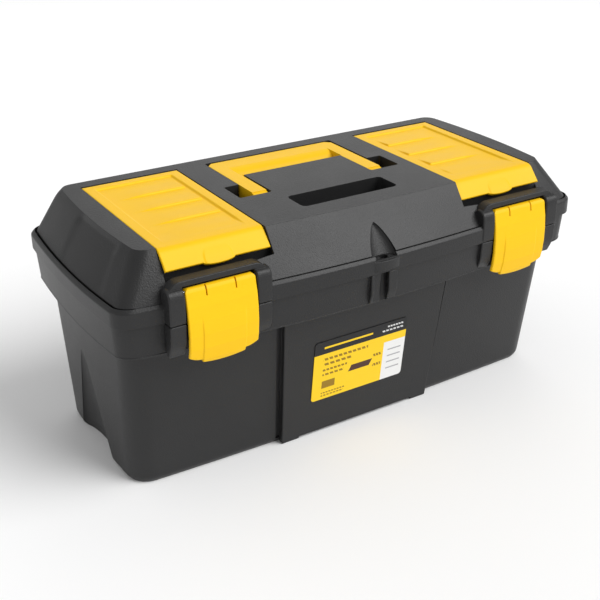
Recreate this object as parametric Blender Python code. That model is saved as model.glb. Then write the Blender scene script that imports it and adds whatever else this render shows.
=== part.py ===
"""Nineteen-inch moulded toolbox with a lift-out tray.

A tapered tub, a domed lid on two rear pin hinges, two organiser wells with
hinged covers in the lid, a fold-flat carrying handle, two front latches in
their brackets, a padlock eye, a front label and the tray inside.

Sizes are in millimetres; meshes are made in metres.
The origin is on the ground, in the middle of the box. +X is to its right as
its front is faced, -Y is its front and +Z is up.
"""
import math

import bmesh
import bpy
from mathutils import Matrix, Vector

MM = 0.001
FLATNESS = 1.0e-5
FINELY_CUT = ("lid",)

# Driving sizes of the box
HALF_LENGTH = 241.3
RIM_FRONT = -113.5
RIM_REAR = 110.0
HEIGHT = 220.0
PARTING = 168.4
GAP = 0.3
FRONT_BOW = 19.5
END_BOW = 6.0

# How far cutters reach past the box
ABOVE = 225.0
BELOW = -1.0
PAST_END = 250.0
PAST_FRONT = -125.0
PAST_REAR = 120.0

# Tub
BAND_BOTTOM = 139.5
TUB_TOP = PARTING - GAP
LEDGE = 142.0
FLOOR = 3.5
PANEL_FOOT = (81.5, -73.0)
PANEL_HEAD = (87.0, -90.0)
PANEL_TOP = 136.0
VALLEY_Y = 18.0
VALLEY_HALF = 38.0
VALLEY_DEPTH = 9.0
VALLEY_WALL = (222.0, 227.6)
VALLEY_POINT = (4.0, 1.0)
VALLEY_TOP = 100.0
SKIN = 3.0

# Lid
RIM_TOP = 184.0
RIM_SHOULDER = 181.0

# Rear hinges
HINGE_Y = 112.0
HINGE_Z = PARTING
HINGE_X = 150.0
KNUCKLE_RADIUS = 4.0
HINGE_PIN_RADIUS = 1.5
LID_KNUCKLE_HALF = 10.0
TUB_KNUCKLE_LENGTH = 13.5
KNUCKLE_ROOM_Y = 106.5
HINGE_BORE_X = (120.0, 180.0)

# Organisers in the lid
COVER_IN = 98.6
COVER_OUT = 190.9
COVER_REAR = 84.2
COVER_TOP_REAR = 83.4
COVER_BEND = (-77.0, 219.7)
COVER_LIP = (-89.5, 205.9)
COVER_THICKNESS = 2.6
WELL_FLOOR = 178.0
WELL_SKIN = 2.5
TAB_HALF = 14.0
TAB_REACH = 2.8
COVER_AXIS = (82.2, 217.5)
COVER_BEAD = (215.4, 80.2)
COVER_REAR_ROOM = 1.1
COVER_PIN_RADIUS = 0.9

# Handle
HANDLE_HALF = 68.4
HANDLE_REAR = 83.3
HANDLE_BAR_FRONT = 54.0
ARM_INNER = 54.0
HANDLE_LOW = 205.0
HANDLE_TOP = 219.4
HANDLE_AXIS = (-5.0, 211.5)
HANDLE_BOSS_RADIUS = 7.0
HANDLE_PIN_RADIUS = 2.0
RECESS_FLOOR = 203.0
RECESS_SKIN = 5.5
FINGER_ROOM = 16.0
POCKET_OUT = 84.5
POCKET_Y = (-13.2, 17.8)

# Tool slot in the lid
SLOT_HALF = 49.3
SLOT_FRONT = -60.0
SLOT_REAR = -31.0
SLOT_FLOOR = 200.0

# Latches and their brackets
LATCH_X = 153.5
LATCH_HALF = 30.6
LATCH_AXIS = (-104.0, 192.5)
LATCH_PIN_RADIUS = 1.2
POST_WIDTH = 13.0
LATCH_GAP = 0.6
LATCH_POCKET = -100.2

# Padlock eye
EYE_HALF = 15.0
EYE_FRONT = -116.0
EYE_HOLE_Y = -108.0
EYE_HOLE_RADIUS = 4.0

# Label
LABEL_X = (-54.0, 46.0)
LABEL_Z = (38.0, 101.5)
LABEL_THICKNESS = 0.4

# Tray
TRAY_BOTTOM = 100.0
TRAY_TOP = 160.0
TRAY_WALL = 2.5
TRAY_GRIP_TOP = 166.0


def clear_scene():
    """Remove whatever the start-up file holds."""
    for item in list(bpy.data.objects):
        bpy.data.objects.remove(item, do_unlink=True)


def make_material(name, colour, roughness, metallic=0.0):
    """A Principled material of one colour."""
    material = bpy.data.materials.new(name)
    material.use_nodes = True
    shader = material.node_tree.nodes["Principled BSDF"]
    shader.inputs["Base Color"].default_value = (*colour, 1.0)
    shader.inputs["Roughness"].default_value = roughness
    shader.inputs["Metallic"].default_value = metallic
    material.diffuse_color = (*colour, 1.0)
    return material


def loft(name, sections):
    """A closed solid through sections of equally many (x, y, z) points."""
    mesh = bmesh.new()
    loops = [[mesh.verts.new(Vector(point) * MM) for point in section] for section in sections]
    count = len(loops[0])
    for lower, upper in zip(loops, loops[1:]):
        for index in range(count):
            follow = (index + 1) % count
            mesh.faces.new((lower[index], lower[follow], upper[follow], upper[index]))
    mesh.faces.new(loops[0])
    mesh.faces.new(loops[-1])
    bmesh.ops.connect_verts_nonplanar(mesh, angle_limit=FLATNESS, faces=mesh.faces)
    bmesh.ops.recalc_face_normals(mesh, faces=mesh.faces)
    data = bpy.data.meshes.new(name)
    mesh.to_mesh(data)
    mesh.free()
    solid = bpy.data.objects.new(name, data)
    bpy.context.scene.collection.objects.link(solid)
    return solid


def prism_x(name, profile, start, end):
    """A (y, z) outline carried along X."""
    return loft(name, [[(x, y, z) for y, z in profile] for x in (start, end)])


def prism_z(name, outline, bottom, top):
    """An (x, y) outline carried along Z."""
    return loft(name, [[(x, y, z) for x, y in outline] for z in (bottom, top)])


def box(name, x_range, y_range, z_range):
    """A block between two values on each axis."""
    (x0, x1), (y0, y1) = sorted(x_range), y_range
    return prism_z(name, [(x0, y0), (x1, y0), (x1, y1), (x0, y1)], *z_range)


def circle(centre, radius, sides=16):
    """Points of a circle about a pair of coordinates."""
    turns = [2.0 * math.pi * step / sides for step in range(sides)]
    return [(centre[0] + radius * math.cos(turn), centre[1] + radius * math.sin(turn)) for turn in turns]


def rod_x(name, centre, radius, start, end, sides=16):
    """A round bar along X about a (y, z) centre."""
    return prism_x(name, circle(centre, radius, sides), start, end)


def combine(target, tools, operation):
    """Join tools to the target, or cut them from it, and use them up.

    The lid's many small cuts leave the exact solver with open or missing faces, so it uses the
    manifold one.
    """
    for tool in tools:
        modifier = target.modifiers.new(tool.name, "BOOLEAN")
        modifier.operation = operation
        modifier.solver = "MANIFOLD" if target.name.startswith(FINELY_CUT) else "EXACT"
        modifier.object = tool
        graph = bpy.context.evaluated_depsgraph_get()
        result = bpy.data.meshes.new_from_object(target.evaluated_get(graph))
        shape = bmesh.new()
        shape.from_mesh(result)
        bmesh.ops.triangulate(shape, faces=shape.faces)
        shape.to_mesh(result)
        shape.free()
        target.modifiers.clear()
        target.data = result
        bpy.data.objects.remove(tool, do_unlink=True)
    return target


def join(target, *tools):
    """Union of the target and the tools."""
    return combine(target, tools, "UNION")


def cut(target, *tools):
    """The target without the tools."""
    return combine(target, tools, "DIFFERENCE")


def finish(piece, material, smooth_angle=35.0):
    """Give a piece its name's mesh, its material and its shading."""
    piece.data.name = piece.name
    piece.data.materials.clear()
    piece.data.materials.append(material)
    piece.data.shade_smooth()
    piece.data.set_sharp_from_angle(angle=math.radians(smooth_angle))
    return piece


def pivot(name, place, parent=None):
    """An empty on a joint's axis, at a place in the box's frame."""
    empty = bpy.data.objects.new(name, None)
    empty.empty_display_size = 20.0 * MM
    bpy.context.scene.collection.objects.link(empty)
    base = Vector(parent["place"]) if parent else Vector((0.0, 0.0, 0.0))
    empty["place"] = [value * MM for value in place]
    empty.location = Vector(empty["place"]) - base
    empty.parent = parent
    return empty


def hang(piece, holder):
    """Parent a piece to a pivot and put the piece's origin on it."""
    place = Vector(holder["place"])
    piece.data.transform(Matrix.Translation(-place))
    piece.parent = holder
    return piece


def plan(z, half_x, front, rear, bow, end_bow, radius):
    """A rounded rectangle whose front bows out by bow and whose ends bulge by end_bow."""
    corner_steps, long_steps, short_steps = 4, 8, 4
    middle = (rear + front) / 2.0
    half_y = (rear - front) / 2.0
    outline = []
    corners = ((1, -1), (1, 1), (-1, 1), (-1, -1))
    for index, (sign_x, sign_y) in enumerate(corners):
        start = math.radians(-90.0 + 90.0 * index)
        for step in range(corner_steps + 1):
            turn = start + math.radians(90.0) * step / corner_steps
            outline.append((
                sign_x * (half_x - radius) + radius * math.cos(turn),
                sign_y * (half_y - radius) + radius * math.sin(turn),
            ))
        next_x, next_y = corners[(index + 1) % 4]
        steps = short_steps if index % 2 == 0 else long_steps
        last = outline[-1]
        if index % 2 == 0:
            goal = (last[0], next_y * (half_y - radius))
        else:
            goal = (next_x * (half_x - radius), last[1])
        for step in range(1, steps):
            share = step / steps
            outline.append((
                last[0] + (goal[0] - last[0]) * share,
                last[1] + (goal[1] - last[1]) * share,
            ))
    points = []
    for x, y in outline:
        along, across = x / half_x, y / half_y
        bent_x = x - end_bow * along * across ** 2
        bent_y = y - min(across, 0.0) * bow * along ** 2
        points.append((bent_x, bent_y + middle, z))
    return points


def mirrored(sign, low, high):
    """An X range on the right for sign 1 and on the left for sign -1."""
    return (sign * low, sign * high) if sign > 0 else (sign * high, sign * low)


def valley(name, sign, margin):
    """The hollow in an end wall: wide at its foot, narrowing upwards to a point."""
    steps = 8
    sections = []
    for z, half, depth, wall in (
        (BELOW, VALLEY_HALF + margin, VALLEY_DEPTH + margin, VALLEY_WALL[0]),
        (VALLEY_TOP, VALLEY_POINT[0] + margin, VALLEY_POINT[1] + margin, VALLEY_WALL[1]),
    ):
        section = []
        for step in range(steps + 1):
            turn = math.pi * step / steps
            across = VALLEY_Y - half * math.cos(turn)
            section.append((sign * (wall - depth * math.sin(turn)), across, z))
        section.append((sign * PAST_END, VALLEY_Y + half, z))
        section.append((sign * PAST_END, VALLEY_Y - half, z))
        sections.append(section)
    return loft(name, sections)


def make_tub(plastic):
    """The tub: tapered walls, a proud band, a front panel, end hollows, knuckles and posts."""
    tub = loft("tub", [
        plan(0.0, 219.5, -65.5, 87.5, 4.5, 2.0, 17.0),
        plan(4.0, 223.3, -69.0, 91.0, 5.2, 2.9, 20.0),
        plan(132.0, 229.0, -86.0, 100.0, 8.0, 5.0, 20.0),
        plan(BAND_BOTTOM, 238.1, -108.7, 106.0, FRONT_BOW, END_BOW, 14.0),
        plan(TUB_TOP, 239.6, -110.5, 107.5, FRONT_BOW, END_BOW, 14.0),
    ])
    cavity = loft("tub_cavity", [
        plan(FLOOR, 219.8, -65.6, 87.6, 4.5, 2.0, 17.0),
        plan(LEDGE, 226.4, -84.0, 97.8, 8.0, 5.0, 17.0),
        plan(LEDGE, 234.5, -100.0, 103.5, 14.5, END_BOW, 12.0),
        plan(TUB_TOP + 2.0, 235.5, -101.0, 104.5, 14.5, END_BOW, 12.0),
    ])
    for sign in (-1, 1):
        cut(cavity, valley("cavity_valley", sign, SKIN))
    cut(tub, cavity)
    join(tub, make_panel())
    for sign in (-1, 1):
        cut(tub, valley("valley", sign, 0.0))
        add_tub_hinge(tub, sign)
        add_tub_latch_side(tub, sign)
    for x_range in ((-EYE_HALF, -EYE_HALF + 3.0), (3.0, 12.0)):
        join(tub, prism_x("eye_rib", [(-105.0, 141.0), (-110.5, 141.0), (-113.5, 150.0), (-113.5, TUB_TOP),
                                      (-105.0, TUB_TOP)], *x_range))
    cut(tub, eye_hole())
    return finish(tub, plastic)


def make_panel():
    """The raised panel at the middle of the tub's front, on two feet."""
    foot_x, foot_y = PANEL_FOOT
    head_x, head_y = PANEL_HEAD
    behind = 5.5
    panel = loft("panel", [
        [(-foot_x, foot_y, 0.0), (foot_x, foot_y, 0.0), (foot_x, foot_y + behind, 0.0),
         (-foot_x, foot_y + behind, 0.0)],
        [(-head_x, head_y, PANEL_TOP), (head_x, head_y, PANEL_TOP), (head_x, head_y + behind, PANEL_TOP),
         (-head_x, head_y + behind, PANEL_TOP)],
    ])
    return cut(panel, box("panel_toe", (-64.0, 64.0), (-80.0, -69.5), (-1.0, 2.5)))


def add_tub_hinge(tub, sign):
    """Two knuckles on the tub at one rear hinge, and room for the lid's knuckle between them."""
    inner = HINGE_X - LID_KNUCKLE_HALF
    outer = HINGE_X + LID_KNUCKLE_HALF
    room = mirrored(sign, inner - GAP, outer + GAP)
    cut(tub, box("tub_knuckle_room", room, (KNUCKLE_ROOM_Y, PAST_REAR), (163.0, 175.0)))
    inner_knuckle = (inner - GAP - TUB_KNUCKLE_LENGTH, inner - GAP)
    outer_knuckle = (outer + GAP, outer + GAP + TUB_KNUCKLE_LENGTH)
    for low, high in (inner_knuckle, outer_knuckle):
        span = mirrored(sign, low, high)
        web = [(105.0, 158.0), (107.0, 158.0), (HINGE_Y + KNUCKLE_RADIUS * 0.8, HINGE_Z - 2.4),
               (HINGE_Y, HINGE_Z - 0.4), (105.0, HINGE_Z - 0.4)]
        join(tub, prism_x("web", web, *span), rod_x("knuckle", (HINGE_Y, HINGE_Z), KNUCKLE_RADIUS, *span))
    cut(tub, rod_x("bore", (HINGE_Y, HINGE_Z), HINGE_PIN_RADIUS + GAP, *mirrored(sign, *HINGE_BORE_X)))


def post_spans(sign):
    """The X ranges of a bracket's two posts."""
    reach = LATCH_HALF + LATCH_GAP
    low = LATCH_X - reach
    high = LATCH_X + reach
    return mirrored(sign, low - POST_WIDTH, low), mirrored(sign, high, high + POST_WIDTH)


def add_tub_latch_side(tub, sign):
    """The posts' lower halves, a flat behind the latch and the catch that it closes over."""
    flat = mirrored(sign, LATCH_X - LATCH_HALF - LATCH_GAP, LATCH_X + LATCH_HALF + LATCH_GAP)
    cut(tub, box("tub_flat", flat, (PAST_FRONT, LATCH_POCKET - GAP), (134.0, 175.0)))
    for span in post_spans(sign):
        outline = [(-96.0, 138.0), (-103.0, 138.0), (-108.5, 150.0), (-109.5, TUB_TOP), (-96.0, TUB_TOP)]
        join(tub, prism_x("tub_post", outline, *span))
    catch = [(-98.0, 144.0), (-101.5, 144.0), (-103.4, 147.5), (-101.5, 151.0), (-98.0, 151.0)]
    join(tub, prism_x("catch", catch, *mirrored(sign, LATCH_X - 22.0, LATCH_X + 22.0)))


def eye_hole():
    """The padlock's hole, through the lid's eye and the band below it."""
    return prism_z("eye_hole", circle((0.0, EYE_HOLE_Y), EYE_HOLE_RADIUS), 130.0, 190.0)


def make_lid(plastic):
    """The lid: rim, dome, organiser wells, handle recess, tool slot, brackets, eye and knuckles."""
    lid = loft("lid", [
        plan(PARTING, HALF_LENGTH, RIM_FRONT, RIM_REAR, FRONT_BOW, END_BOW, 14.0),
        plan(RIM_SHOULDER, HALF_LENGTH, RIM_FRONT, RIM_REAR, FRONT_BOW, END_BOW, 14.0),
        plan(RIM_TOP, 239.0, -111.3, 108.3, 19.0, END_BOW, 13.0),
        plan(RIM_TOP, 236.8, -109.5, 106.5, 17.5, END_BOW, 12.0),
        plan(214.0, 215.5, -86.6, 103.5, 10.2, 5.0, 12.0),
        plan(HEIGHT, 211.0, -82.0, 98.5, 9.0, 5.0, 10.0),
    ])
    cavity = loft("lid_cavity", [
        plan(PARTING - 2.0, 235.5, -100.5, 104.0, 14.5, END_BOW, 12.0),
        plan(RIM_SHOULDER, 235.5, -100.5, 104.0, 14.5, END_BOW, 12.0),
        plan(RIM_TOP + 1.0, 232.0, -100.0, 102.5, 14.5, END_BOW, 12.0),
        plan(HEIGHT - SKIN, 209.3, -80.0, 96.0, 9.0, 5.0, 9.0),
    ])
    for sign in (-1, 1):
        walls = mirrored(sign, COVER_IN - 2.6, COVER_OUT + 2.6)
        cut(cavity, box("well_block", walls, (-110.0, 88.0), (WELL_FLOOR - WELL_SKIN, ABOVE)))
    block_x = (-POCKET_OUT - SKIN, POCKET_OUT + SKIN)
    cut(cavity, box("handle_block", block_x, (-18.0, 89.0), (RECESS_FLOOR - RECESS_SKIN, ABOVE)))
    slot_x = (-SLOT_HALF - SKIN, SLOT_HALF + SKIN)
    slot_y = (SLOT_FRONT - SKIN, SLOT_REAR + SKIN)
    cut(cavity, box("slot_block", slot_x, slot_y, (SLOT_FLOOR - SKIN, ABOVE)))
    cut(lid, cavity)
    cut(lid, box("tool_slot", (-SLOT_HALF, SLOT_HALF), (SLOT_FRONT, SLOT_REAR), (SLOT_FLOOR, ABOVE)))
    cut_handle_recess(lid)
    cut(lid, loft("eye_notch", [
        [(x * 2.0, y, 181.0) for x, y in circle((0.0, -110.0), 6.5)],
        [(x * 0.8, y, 206.5) for x, y in circle((0.0, -91.5), 2.0)],
    ]))
    for sign in (-1, 1):
        cut_organiser(lid, sign)
        add_bracket(lid, sign)
        add_lid_hinge(lid, sign)
    nose = [(-EYE_HALF, -105.0), (-EYE_HALF, -114.0), (-12.0, EYE_FRONT), (12.0, EYE_FRONT),
            (EYE_HALF, -114.0), (EYE_HALF, -105.0)]
    join(lid, prism_z("eye", nose, 171.0, 180.0))
    cut(lid, eye_hole())
    return finish(lid, plastic)


def cut_handle_recess(lid):
    """A channel for the folded handle, finger room before its bar, and pockets at its pins."""
    clear = 1.2
    front = HANDLE_AXIS[0] - HANDLE_BOSS_RADIUS - clear
    rear = HANDLE_REAR + clear
    reach = HANDLE_HALF + clear
    bar_y = (HANDLE_BAR_FRONT - FINGER_ROOM, rear)
    cut(lid, box("bar_channel", (-reach, reach), bar_y, (RECESS_FLOOR, ABOVE)))
    for sign in (-1, 1):
        arm = mirrored(sign, ARM_INNER - clear, reach)
        cut(lid, box("arm_channel", arm, (front, 45.0), (RECESS_FLOOR, ABOVE)))
        pocket = mirrored(sign, reach - 1.0, POCKET_OUT)
        cut(lid, box("pin_pocket", pocket, POCKET_Y, (HANDLE_LOW, ABOVE)))
        cut(lid, rod_x("pin_bore", HANDLE_AXIS, HANDLE_PIN_RADIUS + GAP, *mirrored(sign, 46.0, 78.5)))


def cut_organiser(lid, sign):
    """The seat and the well of one organiser, with the bores of its cover's pin."""
    clear = 0.5
    bend_y, bend_z = COVER_BEND
    lip_y, lip_z = COVER_LIP
    under = COVER_THICKNESS + GAP
    rear = COVER_REAR + COVER_REAR_ROOM
    seat = [
        (rear, ABOVE), (rear, 214.5), (78.5, 214.5), (78.5, bend_z - under),
        (bend_y + 1.6, bend_z - under), (lip_y - 0.4, lip_z - under - 3.0), (lip_y - 2.0, 199.5),
        (PAST_FRONT, 199.5), (PAST_FRONT, ABOVE),
    ]
    cut(lid, prism_x("seat", seat, *mirrored(sign, COVER_IN - clear, COVER_OUT + clear)))
    cut(lid, box("well", mirrored(sign, COVER_IN + 2.0, COVER_OUT - 2.0), (-82.0, 76.5), (WELL_FLOOR, ABOVE)))
    cut(lid, rod_x("cover_bore", COVER_AXIS, COVER_PIN_RADIUS + GAP, *mirrored(sign, 96.4, 193.1), 12))


def add_bracket(lid, sign):
    """The bracket of one latch: a flat behind it, two posts and the bar across their tops."""
    flat = mirrored(sign, LATCH_X - LATCH_HALF - LATCH_GAP, LATCH_X + LATCH_HALF + LATCH_GAP)
    cut(lid, box("lid_flat", flat, (PAST_FRONT, LATCH_POCKET), (160.0, 197.0)))
    for span in post_spans(sign):
        outline = [(-97.8, PARTING), (-109.5, PARTING), (-110.0, 172.0), (-110.0, 189.0), (-107.8, 197.0),
                   (-104.0, 201.0), (-92.0, 202.5), (-92.0, 190.0)]
        join(lid, prism_x("post", outline, *span))
    bar = [(-92.0, 196.0), (-99.5, 197.3), (-104.5, 197.3), (-104.5, 200.8), (-102.8, 202.5), (-92.0, 202.5)]
    wide = mirrored(sign, LATCH_X - LATCH_HALF - LATCH_GAP - 1.0, LATCH_X + LATCH_HALF + LATCH_GAP + 1.0)
    join(lid, prism_x("bar", bar, *wide))
    cut(lid, rod_x("latch_bore", LATCH_AXIS, LATCH_PIN_RADIUS + GAP,
                   *mirrored(sign, LATCH_X - 40.0, LATCH_X + 40.0), 12))


def add_lid_hinge(lid, sign):
    """The lid's knuckle at one rear hinge, and room for the tub's two."""
    inner = HINGE_X - LID_KNUCKLE_HALF
    outer = HINGE_X + LID_KNUCKLE_HALF
    length = TUB_KNUCKLE_LENGTH + 2.0 * GAP
    for low, high in ((inner - length, inner), (outer, outer + length)):
        room = mirrored(sign, low - GAP, high + GAP)
        cut(lid, box("lid_knuckle_room", room, (KNUCKLE_ROOM_Y, PAST_REAR), (160.0, 174.0)))
    web = [(105.0, HINGE_Z + GAP), (HINGE_Y, HINGE_Z + GAP), (HINGE_Y + 3.2, HINGE_Z + 2.4), (108.0, 178.0),
           (105.0, 178.0)]
    span = mirrored(sign, inner, outer)
    join(lid, prism_x("web", web, *span), rod_x("knuckle", (HINGE_Y, HINGE_Z), KNUCKLE_RADIUS, *span))
    cut(lid, rod_x("bore", (HINGE_Y, HINGE_Z), HINGE_PIN_RADIUS + GAP, *mirrored(sign, *HINGE_BORE_X)))


def make_cover(side, sign, plastic):
    """An organiser's cover: flat, with a bead for its pin, bent down the slope to a thumb tab."""
    bend_y, bend_z = COVER_BEND
    lip_y, lip_z = COVER_LIP
    under = bend_z - COVER_THICKNESS
    bead_z, bead_y = COVER_BEAD
    chamfer = 0.8
    fall = math.hypot(lip_y - bend_y, lip_z - bend_z)
    down_y, down_z = (lip_y - bend_y) / fall, (lip_z - bend_z) / fall
    middle = (COVER_IN + COVER_OUT) / 2.0
    steps = 8
    stations = [(COVER_IN, 0.0)]
    for step in range(steps + 1):
        turn = math.pi * step / steps
        stations.append((middle - TAB_HALF * math.cos(turn), TAB_REACH * math.sin(turn)))
    stations.append((COVER_OUT, 0.0))
    sections = []
    for x, reach in stations:
        outline = [
            (COVER_TOP_REAR, bend_z), (bend_y, bend_z),
            (lip_y + down_y * reach, lip_z + down_z * reach),
            (lip_y + 2.0 + down_y * reach, lip_z - 1.6 + down_z * reach),
            (bend_y + 1.3, under), (bead_y, under), (bead_y, bead_z + chamfer),
            (bead_y + chamfer, bead_z), (COVER_TOP_REAR, bead_z),
            (COVER_REAR, bead_z + chamfer), (COVER_REAR, bend_z - chamfer),
        ]
        sections.append([(sign * x, y, z) for y, z in outline])
    cover = loft("organiser_cover_" + side, sections)
    bore = mirrored(sign, COVER_IN - 8.0, COVER_OUT + 8.0)
    cut(cover, rod_x("cover_bore", COVER_AXIS, COVER_PIN_RADIUS + GAP, *bore, 12))
    return finish(cover, plastic)


def make_handle(plastic):
    """The folding handle: a wide bar at the rear on two arms that turn at their front ends."""
    low, top = HANDLE_LOW, HANDLE_TOP
    arm_front = HANDLE_AXIS[0]
    corner = 6.0
    right = [
        (ARM_INNER - corner, HANDLE_BAR_FRONT), (ARM_INNER, HANDLE_BAR_FRONT - corner),
        (ARM_INNER, arm_front), (HANDLE_HALF, arm_front), (HANDLE_HALF, HANDLE_REAR - corner),
        (HANDLE_HALF - 2.0, HANDLE_REAR - 1.5), (HANDLE_HALF - corner, HANDLE_REAR),
    ]
    outline = right + [(-x, y) for x, y in reversed(right)]
    handle = prism_z("handle", outline, low, top)
    for sign in (-1, 1):
        arm = mirrored(sign, ARM_INNER, HANDLE_HALF)
        join(handle, rod_x("boss", HANDLE_AXIS, HANDLE_BOSS_RADIUS, *arm, 20))
    for sign in (-1, 1):
        span = mirrored(sign, ARM_INNER - 4.0, HANDLE_HALF + 4.0)
        cut(handle, rod_x("boss_bore", HANDLE_AXIS, HANDLE_PIN_RADIUS + GAP, *span))
    return finish(handle, plastic)


def make_latch(side, sign, plastic):
    """A latch: a bowed plate with a knuckle at its top and a hooked rib behind its lower end."""
    axis_y, axis_z = LATCH_AXIS
    outline = [
        (axis_y, axis_z + 3.2), (axis_y - 2.4, axis_z + 2.6), (axis_y - 3.8, axis_z), (-108.6, 188.0),
        (-110.6, 180.0), (-112.0, 168.0), (-112.2, 156.0), (-111.2, 144.0), (-108.6, 133.0), (-105.6, 127.5),
        (-104.0, 128.6), (-106.4, 134.4), (-108.0, 140.0), (-104.3, 140.6), (-104.3, 142.6), (-108.6, 143.6),
        (-109.5, 156.0), (-109.3, 168.0), (-108.0, 180.0), (-105.0, 189.5), (axis_y + 2.5, axis_z - 2.0),
        (axis_y + 3.1, axis_z + 0.6),
    ]
    span = mirrored(sign, LATCH_X - LATCH_HALF, LATCH_X + LATCH_HALF)
    latch = prism_x("latch_" + side, outline, *span)
    cut(latch, rod_x("latch_bore", LATCH_AXIS, LATCH_PIN_RADIUS + GAP, *mirrored(sign, 110.0, 200.0), 12))
    return finish(latch, plastic)


def make_pin(name, centre, radius, low, high, sign, steel):
    """A plain hinge pin along X."""
    return finish(rod_x(name, centre, radius, *mirrored(sign, low, high), 12), steel)


def make_label(paper):
    """The label on the front panel, leaning with it."""
    def panel_y(z):
        return PANEL_FOOT[1] + (PANEL_HEAD[1] - PANEL_FOOT[1]) * z / PANEL_TOP
    left, right = LABEL_X
    sections = []
    for z in LABEL_Z:
        near = panel_y(z) - GAP
        far = near - LABEL_THICKNESS
        sections.append([(left, far, z), (right, far, z), (right, near, z), (left, near, z)])
    return finish(loft("front_label", sections), paper)


def make_tray(plastic):
    """The lift-out tray: a stepped shell on the tub's ledge, its compartments and its grip."""
    rest = LEDGE + GAP
    tray = loft("tray", [
        plan(TRAY_BOTTOM, 220.0, -73.5, 90.5, 7.0, 4.0, 15.0),
        plan(rest, 223.5, -79.5, 94.0, 7.5, 4.5, 15.0),
        plan(rest, 232.0, -97.5, 101.0, 14.5, END_BOW, 11.0),
        plan(TRAY_TOP, 233.0, -98.5, 102.0, 14.5, END_BOW, 11.0),
    ])
    inner_front = -73.5 + TRAY_WALL
    inner_rear = 90.5 - TRAY_WALL
    cut(tray, loft("tray_cavity", [
        plan(TRAY_BOTTOM + TRAY_WALL, 220.0 - TRAY_WALL, inner_front, inner_rear, 7.0, 4.0, 12.5),
        plan(rest + TRAY_WALL, 221.0, -77.0, 91.5, 7.5, 4.5, 12.5),
        plan(rest + TRAY_WALL, 229.5, -95.0, 98.5, 14.5, END_BOW, 9.0),
        plan(TRAY_TOP + 2.0, 230.5, -96.0, 99.5, 14.5, END_BOW, 9.0),
    ]))
    base = TRAY_BOTTOM + 1.0
    spine_y = (9.0, 12.0)
    join(tray, box("spine", (-219.0, 219.0), spine_y, (base, 152.0)))
    for middle, y_range in ((75.0, (-73.0, 10.0)), (120.0, (11.0, 90.0))):
        for x in (-middle, middle):
            join(tray, box("divider", (x - 1.2, x + 1.2), y_range, (base, 140.0)))
    join(tray, box("grip", (-62.0, 62.0), (4.0, 17.0), (145.0, TRAY_GRIP_TOP)))
    cut(tray, box("grip_hole", (-48.0, 48.0), (0.0, 20.0), (124.0, 158.0)))
    return finish(tray, plastic)


def build():
    """Make every piece and hang the moving ones on their joints' axes."""
    clear_scene()
    black = make_material("black_polypropylene", (0.035, 0.036, 0.038), 0.55)
    yellow = make_material("yellow_polypropylene", (0.93, 0.56, 0.02), 0.42)
    steel = make_material("plated_steel", (0.55, 0.55, 0.54), 0.3, 1.0)
    paper = make_material("printed_label", (0.95, 0.72, 0.05), 0.35)

    make_tub(black)
    make_label(paper)
    lid_pivot = pivot("lid_pivot", (0.0, HINGE_Y, HINGE_Z))
    handle_pivot = pivot("handle_pivot", (0.0, *HANDLE_AXIS), lid_pivot)
    hang(make_lid(black), lid_pivot)
    hang(make_handle(yellow), handle_pivot)
    tray_rest = pivot("tray_rest", (0.0, 0.0, LEDGE + GAP))
    hang(make_tray(black), tray_rest)
    for side, sign in (("left", -1), ("right", 1)):
        make_pin("lid_hinge_pin_" + side, (HINGE_Y, HINGE_Z), HINGE_PIN_RADIUS, 127.0, 173.0, sign, steel)
        cover_middle = sign * (COVER_IN + COVER_OUT) / 2.0
        cover_pivot = pivot("organiser_pivot_" + side, (cover_middle, *COVER_AXIS), lid_pivot)
        hang(make_cover(side, sign, yellow), cover_pivot)
        cover_pin = make_pin(
            "organiser_hinge_pin_" + side, COVER_AXIS, COVER_PIN_RADIUS, 96.7, 192.8, sign, steel)
        hang(cover_pin, lid_pivot)
        latch_pivot = pivot("latch_pivot_" + side, (sign * LATCH_X, *LATCH_AXIS), lid_pivot)
        hang(make_latch(side, sign, yellow), latch_pivot)
        latch_pin = make_pin("latch_pin_" + side, LATCH_AXIS, LATCH_PIN_RADIUS, 114.0, 193.0, sign, steel)
        hang(latch_pin, lid_pivot)
        handle_pin = make_pin("handle_pin_" + side, HANDLE_AXIS, HANDLE_PIN_RADIUS, 46.5, 75.2, sign, steel)
        hang(handle_pin, lid_pivot)


build()
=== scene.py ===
"""Looks of a moulded toolbox with a lift-out tray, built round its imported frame.

Lengths in the classes below are millimetres in the box's own frame: +X to the right as the
latches are faced, -Y towards them, +Z up, with the ground at zero. They become metres when a
mesh is made.
"""

import logging
import math
from dataclasses import dataclass
from enum import Enum

import bmesh
import bpy
import numpy as np
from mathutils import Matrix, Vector

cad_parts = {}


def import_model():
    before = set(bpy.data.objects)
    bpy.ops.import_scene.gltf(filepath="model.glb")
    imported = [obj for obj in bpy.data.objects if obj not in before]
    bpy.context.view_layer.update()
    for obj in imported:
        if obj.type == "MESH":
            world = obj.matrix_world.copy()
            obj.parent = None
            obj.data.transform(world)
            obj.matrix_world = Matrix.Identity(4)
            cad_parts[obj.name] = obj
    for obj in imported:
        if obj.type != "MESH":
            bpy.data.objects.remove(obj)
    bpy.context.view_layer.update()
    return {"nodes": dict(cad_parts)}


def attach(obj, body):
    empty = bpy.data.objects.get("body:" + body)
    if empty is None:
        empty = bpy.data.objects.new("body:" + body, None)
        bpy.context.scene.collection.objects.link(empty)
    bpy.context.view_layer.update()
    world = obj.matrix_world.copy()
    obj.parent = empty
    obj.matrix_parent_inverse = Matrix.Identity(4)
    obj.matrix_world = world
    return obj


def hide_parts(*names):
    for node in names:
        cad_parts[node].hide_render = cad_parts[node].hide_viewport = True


LOG = logging.getLogger("toolbox")
MM = 0.001
ABOVE = 225.0
PAST_END = 250.0
PAST_FRONT = -125.0


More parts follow.
